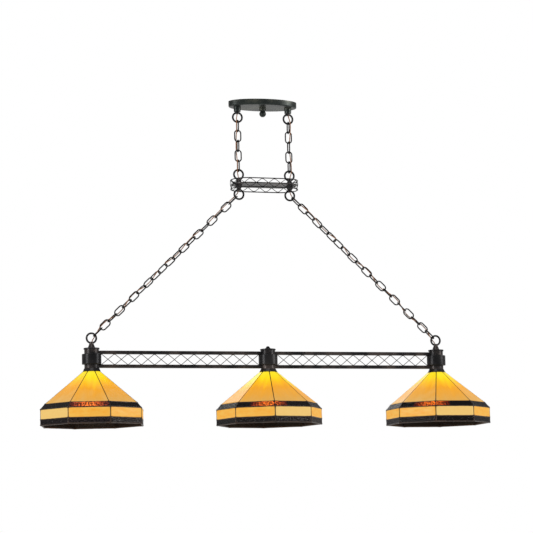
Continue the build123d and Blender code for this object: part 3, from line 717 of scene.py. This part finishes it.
def paneSlab(upper, lower, rows, columns, ripple, rippleScale, seed):
    # two wavy faces of a trapezoid pane, u across and v down, closed round their four edges;
    # the hollows and swells are largest in the middle and die away at the came
    (r1, z1), (r2, z2) = upper, lower
    slant = np.hypot(r2 - r1, z2 - z1)
    inset = shadeShape["came"] * shadeShape["tuck"] / slant
    u, v = np.meshgrid(np.linspace(-1, 1, columns), np.linspace(inset, 1 - inset, rows))
    radius, height = r1 + (r2 - r1) * v, z1 + (z2 - z1) * v
    halfWidth = radius * tan(halfTurn) - shadeShape["came"] * shadeShape["tuck"]
    middle = np.stack([radius, u * halfWidth, height], -1)
    outward = np.array([z1 - z2, 0, r2 - r1]) / slant
    swell = (1 - u**8) * (1 - (2 * v - 1) ** 8)
    outer = waves(middle, rippleScale, seed) * ripple * swell + shadeShape["glass"] / 2
    inner = waves(middle, rippleScale, seed + 1) * ripple * swell + shadeShape["glass"] / 2
    return middle + outward * outer[..., None], middle - outward * inner[..., None]


def slabFaces(rows, columns, start):
    count = rows * columns
    front = gridFaces(rows, columns, start)
    back = gridFaces(rows, columns, start + count)[:, ::-1]
    grid = np.arange(count).reshape(rows, columns)
    border = np.concatenate([grid[0, :-1], grid[:-1, -1], grid[-1, :0:-1], grid[:0:-1, 0]]) + start
    after = np.roll(border, -1)
    edge = np.stack([border, border + count, after + count, after], -1)
    return np.concatenate([front, back, edge])


paneKinds = {
    # level lines, rows, columns, ripple height, ripple size
    "cone": (("top", "cone"), 30, 30, 0.00022, 0.004),
    "skirt": (("shoulder", "skirt"), 10, 30, 0.00025, 0.0035),
    "shoulder": (("cone", "shoulder"), 14, 72, 0.0004, 0.0009),
    "rim": (("skirt", "rim"), 14, 72, 0.0004, 0.0009),
}


def paneSet(side, kinds, name, material, node, seed):
    points, faces, start = [], [], 0
    for kind in kinds:
        (upper, lower), rows, columns, ripple, size = paneKinds[kind]
        for number in range(shadeShape["panes"]):
            slab = paneSlab(
                profile[upper], profile[lower], rows, columns, ripple, size, seed + 37 * number
            )
            turn = 2 * halfTurn * number + halfTurn
            points += [placeOnShade(face, side, turn).reshape(-1, 3) for face in slab]
            faces.append(slabFaces(rows, columns, start))
            start += 2 * rows * columns
    piece = addMesh(name, np.concatenate(points), faces, material)
    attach(piece, f"{side}_shade")
    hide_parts(node)
    return piece


solder = {
    "around": 12,
    "step": 0.0025,
    "lump": 0.07,  # unevenness of the bead, a share of its radius
    "joint": 0.32,  # how much it swells where beads meet
    "jointReach": 0.004,
    "lumpSize": 0.004,
    "upright": 0.85,  # the upright beads' radius, a share of the level ones'
}


def solderRun(start, end, radius, seed):
    # a bead of solder between two corners: a circle along a line, uneven, and fuller at its ends
    length = np.linalg.norm(end - start)
    share = np.linspace(0, 1, max(8, int(length / solder["step"])))
    path = start + (end - start) * share[:, None]
    fromEnd = np.minimum(share, 1 - share) * length
    lumps = waves(path, solder["lumpSize"], seed) * solder["lump"]
    radii = radius * (1 + lumps + solder["joint"] * np.exp(-fromEnd / solder["jointReach"]))
    return tubeWithEnds(path, radii, solder["around"])


def makeCame(side, material, seed):
    # level lines between the corners and upright lines down them
    names = list(profile)
    corner = {level: np.array([r / cos(halfTurn), 0.0, z]) for level, (r, z) in profile.items()}
    runs = []
    for number in range(shadeShape["panes"]):
        turn = 2 * halfTurn * number
        here = {k: placeOnShade(c[None], side, turn)[0] for k, c in corner.items()}
        there = {k: placeOnShade(c[None], side, turn + 2 * halfTurn)[0] for k, c in corner.items()}
        runs += [(here[level], there[level], shadeShape["came"]) for level in names]
        upright = shadeShape["came"] * solder["upright"]
        runs += [(here[a], here[b], upright) for a, b in zip(names, names[1:])]
    points, quads, caps, start = [], [], [], 0
    for number, (low, high, radius) in enumerate(runs):
        made, body, ends = solderRun(low, high, radius, seed + number)
        points.append(made)
        quads.append(body + start)
        caps.append(ends + start)
        start += len(made)
    piece = addMesh(f"{side}Came", np.concatenate(points), quads + caps, material)
    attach(piece, f"{side}_shade")
    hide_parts(f"{side}_lead_came")
    return piece


for number, side in enumerate(hubX):
    finish = glassMaterials[side]
    seed = 1000 * (number + 1)
    paneSet(side, ["cone"], f"{side}ConePanes", finish["cone"], f"{side}_cone_glass", seed)
    paneSet(side, ["skirt"], f"{side}SkirtPanes", finish["skirt"], f"{side}_skirt_glass", seed + 5)
    paneSet(
        side, ["shoulder", "rim"], f"{side}BorderPanes", finish["border"], f"{side}_border_glass", seed + 9
    )
    makeCame(side, lead, seed + 50)
print("shades made")

# beads where the lattice wires are welded to the rails and to the spreader's rims
weld = {"radius": 0.0024, "flat": 0.62, "rows": 5, "around": 8, "lift": 0.0002}
lattice = {
    "barCells": 12,  # between two hubs
    "sleeve": 0.056,
    "spreaderLength": 0.204,
    "spreaderDepth": 0.092,
    "straightCells": 3,
    "endCells": 4,
}


def beadPoints(centres):
    # a squashed ball at each centre: latitude by longitude, with a point at each pole
    latitude = np.linspace(-pi / 2, pi / 2, weld["rows"] + 2)[1:-1]
    longitude = np.linspace(0, 2 * pi, weld["around"], endpoint=False)
    lat, lon = np.meshgrid(latitude, longitude, indexing="ij")
    ball = np.stack([np.cos(lat) * np.cos(lon), np.cos(lat) * np.sin(lon), np.sin(lat)], -1).reshape(-1, 3)
    ball = np.concatenate([ball, [[0, 0, -1], [0, 0, 1]]]) * weld["radius"]
    ball[:, 2] *= weld["flat"]
    return (centres[:, None] + ball).reshape(-1, 3), len(ball)


def makeBeads(name, centres, body):
    points, count = beadPoints(centres)
    rows, around = weld["rows"], weld["around"]
    index = np.arange(around)
    after = (index + 1) % around
    last = (rows - 1) * around
    quads = gridFaces(rows, around, aroundColumns=True)
    low = np.stack([after, index, np.full(around, rows * around)], -1)
    high = np.stack([last + index, last + after, np.full(around, rows * around + 1)], -1)
    starts = np.arange(len(centres)) * count
    faces = [(part[None] + starts[:, None, None]).reshape(-1, part.shape[1]) for part in (quads, low, high)]
    piece = addMesh(name, points, faces, bronzeMetal)
    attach(piece, body)
    return piece


def barNodes():
    # the lattice meets the rails at even steps between the sleeves
    latticeLow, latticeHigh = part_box("bar_lattice")
    cells, sleeve = lattice["barCells"], lattice["sleeve"]
    reach = hubX["right"] - sleeve
    steps = np.arange(cells + 1) / cells * reach + sleeve / 2
    across = np.concatenate([steps - hubX["right"], steps])
    x, z = np.meshgrid(across, [latticeLow[2] + weld["lift"], latticeHigh[2] - weld["lift"]])
    return np.stack([x.ravel(), np.zeros(x.size), z.ravel()], -1)


def spreaderNodes():
    # three cells along each straight side and four round each end, on both rims
    low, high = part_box("spreader_lattice")
    radius = lattice["spreaderDepth"] / 2
    half = (lattice["spreaderLength"] - lattice["spreaderDepth"]) / 2
    straight = np.linspace(-half, half, lattice["straightCells"] + 1)
    turns = np.linspace(-pi / 2, pi / 2, lattice["endCells"] + 1)[1:-1]
    front = np.stack([straight, np.full(len(straight), -radius)], -1)
    back = front * (1, -1)
    rightEnd = np.stack([half + radius * np.cos(turns), radius * np.sin(turns)], -1)
    leftEnd = rightEnd * (-1, 1)
    flat = np.concatenate([front, back, rightEnd, leftEnd])
    levels = [low[2] + weld["lift"], high[2] - weld["lift"]]
    return np.concatenate([np.c_[flat, np.full(len(flat), level)] for level in levels])


makeBeads("barWelds", barNodes(), "light_bar")
makeBeads("spreaderWelds", spreaderNodes(), "spreader")
print("weld beads made")

# lamp cords: one a side, woven through the chains from the canopy to the end hub
cordShape = {
    "radius": 0.0015,
    "groove": 0.13,  # depth of the twist between its two cores, a share of the radius
    "lay": 0.011,  # length of one full twist
    "around": 10,
    "step": 0.0012,
    "beside": 0.0045,  # from the plane of the link it passes
    "weave": 0.010,
    "bend": 0.006,
    "lap": 0.001,  # each side of the pivot where the linkage is opened
    "connector": (0.030, 0.022),
    "sheet": 0.0012,
    "lift": 0.006,
    "turnLevel": -0.0046,
    "sheetFloor": -0.0158,
}
chainShape = {
    "linkLength": 0.0381, "wire": 0.0038, "play": 0.0004, "upper": 5, "arm": 20,
    "ring": 0.0142, "ringWire": 0.0056, "loopX": 0.079, "canopyRing": -0.0485, "seat": 0.0285,
    "plate": 0.003, "hub": 0.530,
}


def cordRoute(s):
    # the corners of the cord's way, the same as the chain's own sizes give them
    c, k = chainShape, cordShape
    hook = (c["ringWire"] + c["wire"]) / 2 + c["play"]
    pitch = c["linkLength"] - 2 * c["wire"] - c["play"]
    half = (c["linkLength"] - c["wire"]) / 2
    upperSpan = 2 * half + (c["upper"] - 1) * pitch - 2 * hook
    armSpan = 2 * half + (c["arm"] - 1) * pitch - 2 * hook
    ring = c["ring"]
    chainTop = c["canopyRing"] - ring
    spreaderRing = c["canopyRing"] - 2 * ring - upperSpan
    armRing = spreaderRing - 2 * c["seat"] - c["plate"]
    armLength = armSpan + 2 * ring
    reach = c["hub"] - c["loopX"]
    drop = (armLength**2 - reach**2) ** 0.5
    hubRing = armRing - drop
    along = Vector((s * reach / armLength, 0, -drop / armLength))
    across, up = Vector((0, 1, 0)), Vector((s * drop / armLength, 0, reach / armLength))
    start = Vector((s * c["loopX"], 0, armRing))
    entry = ring - c["ringWire"] / 2 - 0.001 - 0.0005

    def linkMiddle(number):
        return half - hook + (number - 1) * pitch

    def armPoint(distance, sideways=0.0, outward=0.0):
        return start + along * distance + across * sideways + up * outward

    x, beside = s * c["loopX"], s * (c["loopX"] + k["beside"])
    inside = s * (c["loopX"] + k["beside"] + 0.0005)
    level = k["sheetFloor"] + k["lift"]
    cx, cy = k["connector"]
    route = [
        Vector((s * cx, cy, level)), Vector((s * (cx + 0.012), cy, level)),
        Vector((s * (c["loopX"] - 0.018), 0.004, k["turnLevel"] - 0.0015)),
        Vector((x, 0, k["turnLevel"])), Vector((x, 0, c["canopyRing"] + entry)),
        Vector((inside, -0.004, chainTop + 0.008)),
    ]
    for turn, number in enumerate((1, 3, 5)):
        way = -1 if turn % 2 == 0 else 1
        route.append(Vector((beside, way * k["weave"], chainTop - linkMiddle(number))))
    route += [
        Vector((inside, -0.004, chainTop - upperSpan - 0.008)),
        Vector((x, 0, spreaderRing - entry)), Vector((x, 0, armRing + entry)),
        armPoint(0.007, 0.0038, 0.004),
    ]
    twist = pi / 2 * (c["arm"] - 2) / (c["arm"] - 1)
    step = pi - 2 * twist
    for turn in range(c["arm"] // 2):
        lateral = across * cos(step * turn) - up * sin(step * turn)
        normal = up * cos(step * turn) + across * sin(step * turn)
        way = 1 if turn % 2 == 0 else -1
        middle = armPoint(ring + linkMiddle(2 * turn + 1))
        route.append(middle + lateral * (way * k["weave"]) + normal * k["beside"])
    end = s * c["hub"]
    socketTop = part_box("lamp_sockets")[1][2]
    route += [
        armPoint(armLength - 0.005, 0.006, -0.006), Vector((end, 0, hubRing - entry + 0.001)),
        Vector((end, 0, socketTop + 0.004)),
    ]
    joints = {
        "lead": chainTop, "hanger": chainTop - linkMiddle(1) - half,
        "spreader": chainTop - upperSpan - hook,
        "arm": armRing - ring * drop / armLength,
    }
    return route, joints


def smoothLine(name, route):
    # the spline's own line, read back as evenly numbered points
    curve = bpy.data.curves.new(name, "CURVE")
    curve.dimensions = "3D"
    curve.resolution_u = 24
    spline = curve.splines.new("NURBS")
    spline.points.add(len(route) - 1)
    for point, place in zip(spline.points, route):
        point.co = (*place, 1)
    spline.order_u = 3
    spline.use_endpoint_u = True
    holder = bpy.data.objects.new(name, curve)
    bpy.context.scene.collection.objects.link(holder)
    bpy.context.view_layer.update()
    mesh = bpy.data.meshes.new_from_object(holder)
    line = np.empty(len(mesh.vertices) * 3)
    mesh.vertices.foreach_get("co", line)
    bpy.data.objects.remove(holder)
    bpy.data.meshes.remove(mesh)
    return line.reshape(-1, 3)


def lengthsAlong(line):
    # how far along the line each of its points is
    return np.concatenate([[0], np.cumsum(np.linalg.norm(np.diff(line, axis=0), axis=1))])


def evenly(line, low, high):
    # the stretch of a line between two distances along it, in even steps
    lengths = lengthsAlong(line)
    wanted = np.linspace(low, high, max(8, int((high - low) / cordShape["step"])))
    return np.stack([np.interp(wanted, lengths, line[:, axis]) for axis in range(3)], -1), wanted


def distanceAt(line, height):
    # how far along the line it first sinks below a height
    return lengthsAlong(line)[np.argmax(line[:, 2] < height)]


def cordPiece(name, line, low, high):
    # two cores twisted together: a circle along the line, drawn in at two turning grooves
    path, distance = evenly(line, low, high)
    angle = np.linspace(0, 2 * pi, cordShape["around"], endpoint=False)
    turning = 2 * pi * distance[:, None] / cordShape["lay"]
    groove = cordShape["groove"] * np.sin(angle - turning / 2) ** 8
    points, quads, caps = tubeWithEnds(path, cordShape["radius"] * (1 - groove), cordShape["around"])
    piece = addMesh(name, points, [quads, caps], cordJacket)
    return piece


for side, s in (("left", -1), ("right", 1)):
    route, joints = cordRoute(s)
    line = smoothLine(f"{side}CordLine", route)
    total = float(lengthsAlong(line)[-1])
    print(side, "cord", round(total, 4), "m")
    at = {name: distanceAt(line, height) for name, height in joints.items()}
    middle = {
        "lead": (at["lead"] + at["hanger"]) / 2,
        "hanger": (at["hanger"] + at["spreader"]) / 2,
        "spreader": (at["spreader"] + at["arm"]) / 2,
    }
    # each piece runs from halfway to one joint to halfway to the next, with a joint inside it
    top = cordPiece(f"{side}TopCord", line, 0, middle["lead"])
    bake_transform(top)
    upper = cordPiece(f"{side}UpperCord", line, middle["lead"], middle["hanger"])
    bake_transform(upper)
    if side == "left":
        lower = cordPiece("leftLowerCord", line, middle["hanger"], middle["spreader"])
        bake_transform(lower)
    else:
        lower = cordPiece("rightLowerCord", line, middle["hanger"], at["spreader"] + cordShape["lap"])
        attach(lower, "right_hanger")
        start = at["spreader"] - cordShape["lap"]
        through = cordPiece("rightSpreaderCord", line, start, middle["spreader"])
        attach(through, "spreader")
    arm = cordPiece(f"{side}ArmCord", line, middle["spreader"], total)
    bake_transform(arm)
    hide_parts(f"{side}_lead_cord", *(["canopy_cords"] if side == "left" else []))
    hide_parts(f"{side}_hanger_cord")
    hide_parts(f"{side}_arm_cord", *(["spreader_cords"] if side == "left" else []))
print("cords made")
